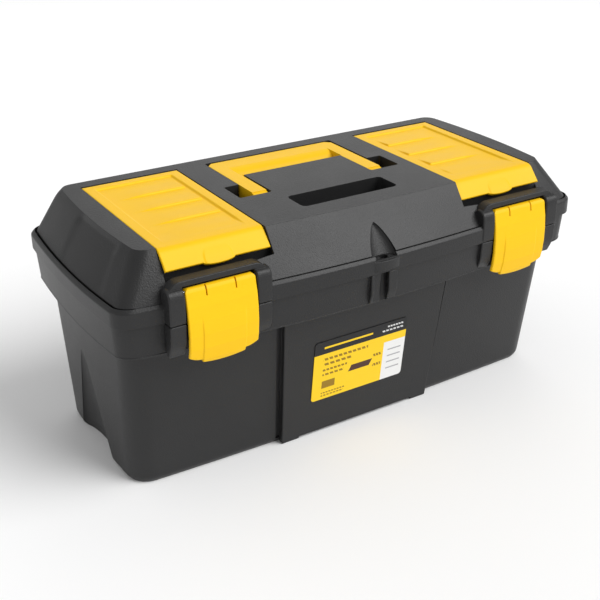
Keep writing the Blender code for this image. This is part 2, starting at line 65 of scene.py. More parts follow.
class Side(Enum):
    """The two ends of the box, with the sign of X on each."""

    LEFT = -1
    RIGHT = 1

    @property
    def word(self) -> str:
        """The side's word in the names of pieces."""
        return self.name.lower()

    def span(self, low: float, high: float) -> tuple[float, float]:
        """An X range given for the right, in rising order on this side."""
        return tuple(sorted((self.value * low, self.value * high)))


class Cut(Enum):
    """What a tool does to the piece that it meets."""

    ADD = "UNION"
    REMOVE = "DIFFERENCE"


# ---------------------------------------------------------------- shapes from arrays


def smooth(value: np.ndarray, low: float, high: float) -> np.ndarray:
    """Goes from 0 at low to 1 at high as 3t^2 - 2t^3.

    Args:
        value: what is measured.
        low: where the rise starts.
        high: where it ends.

    Returns:
        Shares from 0 to 1, in value's shape.
    """
    share = np.clip((value - low) / (high - low), 0.0, 1.0)
    return share * share * (3.0 - 2.0 * share)


def plateau(value: np.ndarray, low: float, high: float, soft: float) -> np.ndarray:
    """1 between low and high, 0 outside, with flanks 2 * soft wide centred on the two limits."""
    return smooth(value, low - soft, low + soft) * (1.0 - smooth(value, high - soft, high + soft))


def edge_fall(margin: np.ndarray, radius: float) -> np.ndarray:
    """How far a face falls towards its rim, along a quarter circle.

    The fall is radius - sqrt(radius^2 - near^2), where near is radius - margin, kept from 0 to radius.

    Args:
        margin: distance from the rim.
        radius: the quarter circle's radius.

    Returns:
        The fall, in margin's shape.
    """
    near = np.clip(radius - margin, 0.0, radius)
    return radius - np.sqrt(radius**2 - near**2)


def fillet(sections: list[tuple], reaches: list[float], steps: int = 5) -> np.ndarray:
    """Rounds a path of sections at its inner corners.

    Each corner B with neighbours A and C becomes the curve (1-t)^2 P + 2t(1-t) B + t^2 Q, where
    P and Q lie at the given reach from B towards A and C.

    Args:
        sections: rows of section values, as rings() reads them.
        reaches: the reach at each inner corner, 0 to keep it sharp.
        steps: segments along each curve.

    Returns:
        The longer path, one row for each section.
    """
    path = np.asarray(sections, float)
    rows = [path[:1]]
    share = np.linspace(0.0, 1.0, steps + 1)[:, None]
    for before, corner, after, reach in zip(path, path[1:], path[2:], reaches):
        if reach == 0.0:
            rows.append(corner[None])
            continue
        ends = []
        for other in (before, after):
            gap = other - corner
            ends.append(corner + gap * min(0.45, reach / np.linalg.norm(gap[:3])))
        rows.append((1 - share) ** 2 * ends[0] + 2 * share * (1 - share) * corner + share**2 * ends[1])
    rows.append(path[-1:])
    return np.concatenate(rows)


def rings(path: np.ndarray, corner: int = 10, long_side: int = 72, short_side: int = 40) -> np.ndarray:
    """Rounded rectangles, one for each row of (z, half_x, front, rear, bow, end_bow, radius).

    Four quarter circles joined by straight sides are bent twice: an end moves in by
    end_bow * (y / half_y)^2, and the front moves back by bow * (x / half_x)^2.

    Args:
        path: the rows, in mm.
        corner: segments in a corner.
        long_side: segments in the front and in the rear.
        short_side: segments in an end.

    Returns:
        Points as (rows, around, 3), counter-clockwise from above.
    """
    z, half_x, front, rear, bow, end_bow, radius = (column[:, None] for column in path.T)
    half_y = (rear - front) / 2.0
    turn = np.linspace(0.0, math.pi / 2.0, corner + 1)
    arcs = []
    for index, (sign_x, sign_y) in enumerate(((1, -1), (1, 1), (-1, 1), (-1, -1))):
        angle = turn + (index - 1) * math.pi / 2.0
        arcs.append((
            sign_x * (half_x - radius) + radius * np.cos(angle),
            sign_y * (half_y - radius) + radius * np.sin(angle),
        ))
    xs, ys = [], []
    for index, (arc_x, arc_y) in enumerate(arcs):
        next_x, next_y = arcs[(index + 1) % 4]
        steps = long_side if index % 2 else short_side
        share = np.linspace(0.0, 1.0, steps + 1)[1:-1]
        xs += [arc_x, arc_x[:, -1:] + (next_x[:, :1] - arc_x[:, -1:]) * share]
        ys += [arc_y, arc_y[:, -1:] + (next_y[:, :1] - arc_y[:, -1:]) * share]
    x, y = np.concatenate(xs, 1), np.concatenate(ys, 1)
    along, across = x / half_x, y / half_y
    bent_x = x - end_bow * along * across**2
    bent_y = y - np.minimum(across, 0.0) * bow * along**2 + (rear + front) / 2.0
    return np.stack([bent_x, bent_y, np.broadcast_to(z, x.shape)], -1)


def to_object(name: str, points: np.ndarray, faces: list) -> bpy.types.Object:
    """Puts points in mm and faces into a mesh object whose normals point outwards.

    Args:
        name: the object's name.
        points: rows of x, y, z.
        faces: lists of point numbers.

    Returns:
        The linked object.
    """
    mesh = bpy.data.meshes.new(name)
    mesh.from_pydata((points * MM).tolist(), [], faces)
    shape = bmesh.new()
    shape.from_mesh(mesh)
    bmesh.ops.recalc_face_normals(shape, faces=shape.faces)
    shape.to_mesh(mesh)
    shape.free()
    made = bpy.data.objects.new(name, mesh)
    bpy.context.scene.collection.objects.link(made)
    return made


def loft(name: str, grid: np.ndarray) -> bpy.types.Object:
    """A closed solid through rings of points, with a flat cap at each end.

    Args:
        name: the object's name.
        grid: points as (rings, around, 3).

    Returns:
        The object.
    """
    rows, around = grid.shape[:2]
    number = np.arange(rows * around).reshape(rows, around)
    low, high = number[:-1], number[1:]
    quads = np.stack([low, np.roll(low, -1, 1), np.roll(high, -1, 1), high], -1).reshape(-1, 4)
    caps = [number[0, ::-1].tolist(), number[-1].tolist()]
    return to_object(name, grid.reshape(-1, 3), quads.tolist() + caps)


def shell(name: str, front: np.ndarray, back: np.ndarray) -> bpy.types.Object:
    """A closed plate between two grids of one shape, joined round their edges.

    Args:
        name: the object's name.
        front: points of one face, as (rows, columns, 3).
        back: points of the other face, in the same order.

    Returns:
        The object.
    """
    rows, columns = front.shape[:2]
    near = np.arange(rows * columns).reshape(rows, columns)
    far = near + rows * columns

    def quads(number: np.ndarray) -> np.ndarray:
        """The four corners of every cell of a grid of point numbers."""
        corners = [number[:-1, :-1], number[1:, :-1], number[1:, 1:], number[:-1, 1:]]
        return np.stack(corners, -1).reshape(-1, 4)

    def edge(number: np.ndarray) -> np.ndarray:
        """The point numbers round a grid, in order."""
        return np.concatenate([number[0, :-1], number[:-1, -1], number[-1, :0:-1], number[:0:-1, 0]])

    near_edge, far_edge = edge(near), edge(far)
    rim = np.stack([near_edge, np.roll(near_edge, -1), np.roll(far_edge, -1), far_edge], -1)
    faces = np.concatenate([quads(near), quads(far)[:, ::-1], rim])
    points = np.concatenate([front.reshape(-1, 3), back.reshape(-1, 3)])
    return to_object(name, points, faces.tolist())


def prism(
    name: str, outline: list, axis: int, low: float, high: float, soft: float = 0.0
) -> bpy.types.Object:
    """An outline carried along an axis, with its edges rounded.

    Args:
        name: the object's name.
        outline: pairs of the two other coordinates, in rising order of axis.
        axis: 0, 1 or 2 for X, Y or Z.
        low: where it starts along the axis.
        high: where it ends.
        soft: the rounding of its edges, or 0.

    Returns:
        The object.
    """
    flat = np.asarray(outline, float)
    grid = np.stack([np.insert(flat, axis, value, 1) for value in (low, high)])
    made = loft(name, grid)
    if soft:
        soften(made, soft)
    return made


def soften(piece: bpy.types.Object, width: float, least_turn: float = 25.0, segments: int = 3) -> None:
    """Rounds every edge of a mesh where its faces turn by more than least_turn degrees.

    Args:
        piece: the object, whose mesh is changed.
        width: how far each edge is cut back.
        least_turn: the smallest turn that counts as an edge.
        segments: faces across each rounding.
    """
    shape = bmesh.new()
    shape.from_mesh(piece.data)
    sharp = [e for e in shape.edges if e.calc_face_angle(0.0) > math.radians(least_turn)]
    bmesh.ops.bevel(
        shape, geom=sharp, offset=width * MM, segments=segments, profile=0.5, affect="EDGES",
        clamp_overlap=True,
    )
    shape.to_mesh(piece.data)
    shape.free()


def block(name: str, xs: tuple, ys: tuple, zs: tuple, soft: float = 0.0) -> bpy.types.Object:
    """A block between two values on each axis, with its edges rounded by soft."""
    corners = [(xs[0], ys[0]), (xs[1], ys[0]), (xs[1], ys[1]), (xs[0], ys[1])]
    return prism(name, corners, 2, *zs, soft)


def rod(
    name: str, centre: tuple, radius: float, span: tuple, axis: int = 0, sides: int = 32
) -> bpy.types.Object:
    """A round bar along an axis, through a centre given by its two other coordinates.

    Args:
        name: the object's name.
        centre: its two other coordinates.
        radius: its radius.
        span: where it starts and ends.
        axis: 0, 1 or 2 for X, Y or Z.
        sides: flats around it.

    Returns:
        The object.
    """
    turn = np.linspace(0.0, 2.0 * math.pi, sides, endpoint=False)
    outline = np.stack([centre[0] + radius * np.cos(turn), centre[1] + radius * np.sin(turn)], -1)
    return prism(name, outline, axis, *span)


def rounded_outline(xs: tuple, ys: tuple, radius: float, steps: int = 6) -> np.ndarray:
    """A rectangle whose four corners are quarter circles, as pairs of coordinates.

    Args:
        xs: its first coordinate, low and high.
        ys: its second coordinate, low and high.
        radius: radius of its corners.
        steps: segments in a corner.

    Returns:
        The outline, one row for each point.
    """
    turn = np.linspace(0.0, math.pi / 2.0, steps + 1)
    centres = ((xs[1], ys[0]), (xs[1], ys[1]), (xs[0], ys[1]), (xs[0], ys[0]))
    signs = ((-1, 1), (-1, -1), (1, -1), (1, 1))
    arcs = []
    for index, ((x, y), (sign_x, sign_y)) in enumerate(zip(centres, signs)):
        angle = turn + (index - 1) * math.pi / 2.0
        arc = [x + sign_x * radius + radius * np.cos(angle), y + sign_y * radius + radius * np.sin(angle)]
        arcs.append(np.stack(arc, -1))
    return np.concatenate(arcs)


def combine(piece: bpy.types.Object, how: Cut, *tools: bpy.types.Object) -> bpy.types.Object:
    """Joins tools to a piece or cuts them from it, and uses them up.

    Args:
        piece: the object that is kept.
        how: whether the tools are added or removed.
        tools: closed solids.

    Returns:
        The piece.
    """
    for tool in tools:
        modifier = piece.modifiers.new("combine", "BOOLEAN")
        modifier.operation = how.value
        modifier.solver = "MANIFOLD"
        modifier.object = tool
        result = bpy.data.meshes.new_from_object(piece.evaluated_get(bpy.context.evaluated_depsgraph_get()))
        piece.modifiers.clear()
        piece.data = result
        bpy.data.objects.remove(tool, do_unlink=True)
    return piece


def dress(piece: bpy.types.Object, material: bpy.types.Material, sharp: float = 32.0) -> bpy.types.Object:
    """Gives a piece its material and normals that stay flat on its flat faces.

    Args:
        piece: the object.
        material: its finish.
        sharp: the turn in degrees past which an edge stays sharp.

    Returns:
        The piece.
    """
    piece.data.name = piece.name
    piece.data.materials.clear()
    piece.data.materials.append(material)
    piece.data.shade_smooth()
    piece.data.set_sharp_from_angle(angle=math.radians(sharp))
    normals = piece.modifiers.new("normals", "WEIGHTED_NORMAL")
    normals.keep_sharp = True
    return piece


# ---------------------------------------------------------------- shader maths


@dataclass(frozen=True)
class Signal:
    """A socket of a material's nodes that Python's operators work on."""

    nodes: "Shader"
    socket: bpy.types.NodeSocket

    def _math(self, kind: str, first: "float | Signal", second: "float | Signal") -> "Signal":
        """The value of one Math node."""
        return self.nodes.add("ShaderNodeMath", {"operation": kind}, {0: first, 1: second}).out("Value")

    def __add__(self, other: "float | Signal") -> "Signal":
        """self + other"""
        return self._math("ADD", self, other)

    def __radd__(self, other: float) -> "Signal":
        """other + self"""
        return self._math("ADD", other, self)

    def __sub__(self, other: "float | Signal") -> "Signal":
        """self - other"""
        return self._math("SUBTRACT", self, other)

    def __rsub__(self, other: float) -> "Signal":
        """other - self"""
        return self._math("SUBTRACT", other, self)

    def __mul__(self, other: "float | Signal") -> "Signal":
        """self * other"""
        return self._math("MULTIPLY", self, other)

    def __rmul__(self, other: float) -> "Signal":
        """other * self"""
        return self._math("MULTIPLY", other, self)

    def __gt__(self, other: "float | Signal") -> "Signal":
        """1 where self is above other, else 0"""
        return self._math("GREATER_THAN", self, other)

    def __lt__(self, other: "float | Signal") -> "Signal":
        """1 where self is below other, else 0"""
        return self._math("LESS_THAN", self, other)

    def wave(self, period: float) -> "Signal":
        """Self's place within a period, as a share from 0 to 1."""
        return self._math("FRACT", self * (1.0 / period), 0.0)


@dataclass(frozen=True)
class Placed:
    """A node that has been placed and filled in."""

    nodes: "Shader"
    node: bpy.types.Node

    def out(self, name: str = "") -> Signal:
        """One output by name, or the first."""
        return Signal(self.nodes, self.node.outputs[name] if name else self.node.outputs[0])


class Shader:
    """A material and its nodes, ending in a Principled BSDF."""

    def __init__(self, name: str) -> None:
        """Starts a material called name.

        Args:
            name: the material's name.
        """
        self.material = bpy.data.materials.new(name)
        self.material.use_nodes = True
        self.tree = self.material.node_tree
        self.surface = self.tree.nodes["Principled BSDF"]

    def add(self, kind: str, settings: dict | None = None, values: dict | None = None) -> Placed:
        """Places a node, sets its settings, then its sockets' values or links.

        Args:
            kind: the node's type.
            settings: attributes such as a Math node's operation, or a ramp's stops.
            values: a value or a Signal for each socket, by name or number.

        Returns:
            The node.
        """
        node = self.tree.nodes.new(kind)
        for key, value in (settings or {}).items():
            setattr(node, key, value)
        self.fill(node, values or {})
        return Placed(self, node)

    def fill(self, node: bpy.types.Node, values: dict) -> None:
        """Sets a node's sockets to values or links them to Signals.

        Args:
            node: the node.
            values: a value or a Signal for each socket, by name or number.
        """
        for key, value in values.items():
            if isinstance(value, Signal):
                self.tree.links.new(value.socket, node.inputs[key])
            else:
                node.inputs[key].default_value = value

    def place(self) -> Signal:
        """The place on the piece, in metres."""
        return self.add("ShaderNodeTexCoord").out("Object")

    def noise(self, size: float, detail: float = 2.0) -> Signal:
        """Noise from 0 to 1 whose lumps are about size mm across."""
        values = {"Vector": self.place(), "Scale": 1.0 / (size * MM), "Detail": detail}
        return self.add("ShaderNodeTexNoise", None, values).out("Fac")

    def blend(self, share: "float | Signal", first: "tuple | Signal", second: "tuple | Signal") -> Signal:
        """The colour that goes from first to second as share goes from 0 to 1.

        Args:
            share: how much of second there is.
            first: a colour.
            second: a colour.

        Returns:
            The mixed colour.
        """
        node = self.add("ShaderNodeMix", {"data_type": "RGBA"})
        self.fill(node.node, {0: share, 6: first, 7: second})
        return Signal(self, node.node.outputs[2])

    def finish(self, **values: "float | tuple | Signal") -> bpy.types.Material:
        """Fills in the surface's sockets, with _ for each space in their names."""
        self.fill(self.surface, {key.replace("_", " "): value for key, value in values.items()})
        return self.material


@dataclass(frozen=True)
class Moulded:
    """Moulded plastic with a fine grain, slow changes of shade and edges a little rounded.

    Attributes:
        name: the material's name.
        colour: its colour.
        worn: the colour of its faint lighter cloud.
        roughness: its middle roughness.
        grain: height of its grain in mm.
        grain_size: width of one grain in mm.
        edge: radius in mm that its sharp edges look rounded by.
        gloss: how strongly it reflects, 0.5 for a clean surface.
    """

    name: str
    colour: tuple[float, float, float]
    worn: tuple[float, float, float]
    roughness: float
    grain: float
    grain_size: float = 0.55
    edge: float = 0.5
    gloss: float = 0.4

    def build(self) -> bpy.types.Material:
        """Makes the material."""
        shader = Shader(self.name)
        cloud = shader.noise(38.0, 3.0)
        speck = shader.noise(self.grain_size, 2.0)
        colour = shader.blend(cloud * 0.6 + speck * 0.25, (*self.colour, 1.0), (*self.worn, 1.0))
        rough = cloud * 0.10 + speck * 0.12 + (self.roughness - 0.11)
        edges = shader.add("ShaderNodeBevel", {"samples": 6}, {"Radius": self.edge * MM}).out()
        grain = {"Height": speck, "Distance": self.grain * MM, "Strength": 0.55, "Normal": edges}
        normal = shader.add("ShaderNodeBump", None, grain).out()
        return shader.finish(Base_Color=colour, Roughness=rough, Normal=normal, Specular_IOR_Level=self.gloss)


@dataclass(frozen=True)
class HingeWire:
    """Drawn steel wire with faint lengthways lines."""

    name: str = "hinge_wire"
    colour: tuple[float, float, float] = (0.55, 0.55, 0.54)
    roughness: float = 0.3

    def build(self) -> bpy.types.Material:
        """Makes the material."""
        shader = Shader(self.name)
        lines = shader.noise(0.3, 2.0)
        dull = tuple(0.7 * value for value in self.colour)
        colour = shader.blend(shader.noise(6.0), (*self.colour, 1.0), (*dull, 1.0))
        return shader.finish(Base_Color=colour, Roughness=lines * 0.2 + (self.roughness - 0.1), Metallic=1.0)


@dataclass(frozen=True)
class Print:
    """The label's print: a black header with one stripe, a yellow field, rules and a pale box.

    It holds no lettering: every line of small print is a broken rule.
    """

    name: str = "label_print"
    yellow: tuple[float, float, float] = (0.92, 0.60, 0.012)
    black: tuple[float, float, float] = (0.014, 0.014, 0.015)
    white: tuple[float, float, float] = (0.80, 0.80, 0.79)
    header: float = 88.0
    box_left: float = 22.0
    box_top: float = 80.0
    left: float = -44.0

    def build(self) -> bpy.types.Material:
        """Makes the material."""
        shader = Shader(self.name)
        split = shader.add("ShaderNodeSeparateXYZ", None, {0: shader.place()})
        x, z = split.out("X") * (1.0 / MM), split.out("Z") * (1.0 / MM)

        def inside(left: float, right: float, low: float, high: float) -> Signal:
            """1 inside a rectangle of the label's face, else 0."""
            return (x > left) * (x < right) * (z > low) * (z < high)

        def words(left: float, right: float, low: float, height: float, pitch: float) -> Signal:
            """A row of short strokes that stands for small print."""
            broken = (x + z * 0.4).wave(pitch) < 0.72
            return inside(left, right, low, low + height) * broken

        ink = words(-44.0, 4.0, 80.5, 2.6, 5.0) + words(-44.0, -14.0, 75.0, 2.6, 6.0)
        ink = ink + words(-44.0, -18.0, 69.0, 2.2, 4.0) + words(-44.0, -21.0, 64.0, 2.2, 5.0)
        ink = ink + words(-44.0, -18.0, 44.0, 1.4, 3.0) + words(-44.0, -20.0, 41.0, 1.4, 3.5)
        ink = ink + inside(-44.0, -30.0, 50.0, 58.0) + words(11.0, 20.0, 68.0, 3.0, 3.0)
        ink = ink + words(11.0, 20.0, 57.0, 3.0, 3.0)
        slant = x - z * 0.5
        tray = (slant > -46.0) * (slant < -23.0) * (z > 60.0) * (z < 66.5)
        rules = (z.wave(7.0) < 0.2) * inside(27.0, 42.0, 46.0, 76.0)
        pale = (x > self.box_left) * (z < self.box_top)
        head = z > self.header
        strip = words(18.0, 42.0, 92.0, 1.8, 4.0) + words(24.0, 42.0, 96.0, 1.8, 3.0)
        stripe = inside(self.left, 8.0, 93.4, 95.4)
        colour = shader.blend(ink * 0.82, (*self.yellow, 1.0), (0.16, 0.08, 0.01, 1.0))
        colour = shader.blend(tray, colour, (0.07, 0.03, 0.02, 1.0))
        colour = shader.blend(pale, colour, (*self.white, 1.0))
        colour = shader.blend(rules * 0.6, colour, (0.10, 0.10, 0.13, 1.0))
        colour = shader.blend(head, colour, (*self.black, 1.0))
        colour = shader.blend(stripe, colour, (*self.yellow, 1.0))
        colour = shader.blend(head * strip * 0.8, colour, (*self.white, 1.0))
        rough = shader.noise(9.0) * 0.08 + 0.30
        return shader.finish(Base_Color=colour, Roughness=rough, Specular_IOR_Level=0.3)


BLACK = Moulded("black_plastic", (0.012, 0.012, 0.0123), (0.020, 0.020, 0.0204), 0.42, 0.42, 1.2, gloss=0.36)
YELLOW = Moulded("yellow_plastic", (0.88, 0.515, 0.003), (0.92, 0.55, 0.006), 0.45, 0.04, 0.9, gloss=0.2)


# ---------------------------------------------------------------- sub-assemblies


@dataclass(frozen=True)
class Tub:
    """The tub: tapered walls, a proud band, a front panel, end hollows, knuckles and posts."""

    top: float = 168.1
    ledge: float = 142.0
    hollow_y: float = 18.0
    hollow_half: float = 38.0
    hollow_depth: float = 9.0
    hollow_top: float = 100.0
    panel_top: float = 136.0
    skin: float = 3.0

    def outside(self) -> bpy.types.Object:
        """The solid outside: a chamfered foot, the wall, a bead and the proud band."""
        sections = [
            (0.0, 219.5, -65.5, 87.5, 4.5, 2.0, 17.0), (4.0, 223.3, -69.0, 91.0, 5.2, 2.9, 20.0),
            (132.0, 229.0, -86.0, 100.0, 8.0, 5.0, 20.0), (139.4, 238.1, -108.7, 106.0, 19.5, 6.0, 14.0),
            (140.1, 238.5, -109.2, 106.4, 19.5, 6.0, 14.2), (140.9, 238.2, -108.8, 106.1, 19.5, 6.0, 14.0),
            (self.top - 0.8, 239.6, -110.5, 107.5, 19.5, 6.0, 14.0),
            (self.top, 238.9, -109.8, 106.8, 19.2, 6.0, 13.3),
        ]
        return loft("tub_shell", rings(fillet(sections, [3.0, 3.0, 0.6, 0.2, 0.3, 0.0])))

    def inside(self) -> bpy.types.Object:
        """The hollow of the tub, stepped at the tray's ledge and clear of the end hollows."""
        sections = [
            (3.5, 219.8, -65.6, 87.6, 4.5, 2.0, 17.0), (self.ledge, 226.4, -84.0, 97.8, 8.0, 5.0, 17.0),
            (self.ledge, 234.5, -100.0, 103.5, 14.5, 6.0, 12.0),
            (self.top + 2.0, 235.5, -101.0, 104.5, 14.5, 6.0, 12.0),
        ]
        cavity = loft("tub_inside", rings(fillet(sections, [0.0, 2.0])))
        for side in Side:
            combine(cavity, Cut.REMOVE, self.hollow(side, self.skin))
        return cavity

    def hollow(self, side: Side, margin: float) -> bpy.types.Object:
        """The hollow in an end wall, wide at its foot and narrowing upwards to a point.

        Each section is x = wall - depth * sin(turn) ** 1.15, y = middle - half * cos(turn).

        Args:
            side: the end.
            margin: how much bigger it is all round, for the wall's inner face.

        Returns:
            The cutter, open to the outside.
        """
        turn = np.linspace(0.0, math.pi, 41)
        share = np.linspace(0.0, 1.0, 25)[:, None]
        half = self.hollow_half + (4.0 - self.hollow_half) * share + margin
        depth = self.hollow_depth * (1.0 - share) ** 0.85 + margin
        wall = 222.0 + 5.6 * share
        x = wall - depth * np.sin(turn) ** 1.15
        y = self.hollow_y - half * np.cos(turn)
        far = np.full_like(share, PAST_END)
        x, y = np.hstack([x, far, far]), np.hstack([y, y[:, -1:], y[:, :1]])
        z = np.broadcast_to(-1.0 + (self.hollow_top + 1.0) * share, x.shape)
        return loft("hollow", np.stack([side.value * x, y, z], -1))

    def panel(self) -> bpy.types.Object:
        """The raised panel at the middle of the front, leaning out, on two feet."""
        head = [(-86.7, -90.0), (86.7, -90.0), (86.7, -84.5), (-86.7, -84.5)]
        foot = [(-81.5, -73.0), (81.5, -73.0), (81.5, -67.5), (-81.5, -67.5)]
        grid = np.array([[(x, y, 0.0) for x, y in foot], [(x, y, self.panel_top) for x, y in head]])
        made = loft("panel", grid)
        soften(made, 1.0)
        return combine(made, Cut.REMOVE, block("toe", (-64.0, 64.0), (-80.0, -69.5), (-1.0, 2.5), 0.8))

    def panel_groove(self, side: Side) -> bpy.types.Object:
        """The groove down one side of the panel, part of the way through the wall.

        Args:
            side: the side of the panel.

        Returns:
            The cutter.
        """
        foot = [(81.6, -78.0), (85.8, -78.0), (85.8, -66.4), (81.6, -66.4)]
        head = [(87.0, -96.0), (91.4, -96.0), (91.4, -82.9), (87.0, -82.9)]
        grid = [[(side.value * x, y, z) for x, y in corners] for z, corners in ((5.0, foot), (132.5, head))]
        return loft("panel_groove", np.array(grid))

    def hinge(self, tub: bpy.types.Object, side: Side) -> None:
        """Two knuckles at one rear hinge, and room for the lid's between them.

        Args:
            tub: the tub, which is changed.
            side: the end that the hinge is nearer.
        """
        room = block("room", side.span(139.7, 160.3), (106.5, 120.0), (163.0, 175.0))
        combine(tub, Cut.REMOVE, room)
        web = [(105.0, 158.0), (107.0, 158.0), (115.2, 166.0), (112.0, 168.0), (105.0, 168.0)]
        for low, high in ((126.2, 139.7), (160.3, 173.8)):
            span = side.span(low, high)
            combine(tub, Cut.ADD, prism("web", web, 0, *span), rod("knuckle", (112.0, 168.4), 4.0, span))
        combine(tub, Cut.REMOVE, rod("bore", (112.0, 168.4), 1.8, side.span(120.0, 180.0)))

    def latch_side(self, tub: bpy.types.Object, side: Side) -> None:
        """A flat behind one latch, its catch, and the lower halves of its bracket's posts.

        Args:
            tub: the tub, which is changed.
            side: the latch's end.
        """
        combine(tub, Cut.REMOVE, block("flat", side.span(122.3, 184.7), (PAST_FRONT, -100.5), (134.0, 175.0)))
        post = [(-98.0, 138.5), (-103.0, 138.5), (-108.7, 150.0), (-109.7, self.top), (-96.0, self.top)]
        outline = fillet(post, [2.0, 5.0, 0.0])
        for low, high in ((109.0, 122.3), (184.9, 198.6)):
            combine(tub, Cut.ADD, prism("post", outline, 0, *side.span(low, high), 1.2))
        catch = [(-98.0, 144.0), (-101.5, 144.0), (-103.4, 147.5), (-101.5, 151.0), (-98.0, 151.0)]
        combine(tub, Cut.ADD, prism("catch", catch, 0, *side.span(131.5, 175.5), 0.4))

    def build(self, plastic: bpy.types.Material) -> bpy.types.Object:
        """Makes the tub.

        Args:
            plastic: its finish.

        Returns:
            The tub.
        """
        tub = combine(self.outside(), Cut.REMOVE, self.inside())
        combine(tub, Cut.ADD, self.panel())
        for side in Side:
            combine(tub, Cut.REMOVE, self.hollow(side, 0.0), self.panel_groove(side))
            self.hinge(tub, side)
            self.latch_side(tub, side)
        rib = [(-105.0, 140.5), (-110.5, 141.0), (-113.5, 150.0), (-113.5, self.top), (-105.0, self.top)]
        for low, high in ((-15.0, -12.0), (3.0, 12.0)):
            combine(tub, Cut.ADD, prism("eye_rib", rib, 0, low, high, 0.9))
        combine(tub, Cut.REMOVE, rod("eye_hole", (0.0, -108.0), 4.0, (130.0, 190.0), 2))
        return dress(tub, plastic)


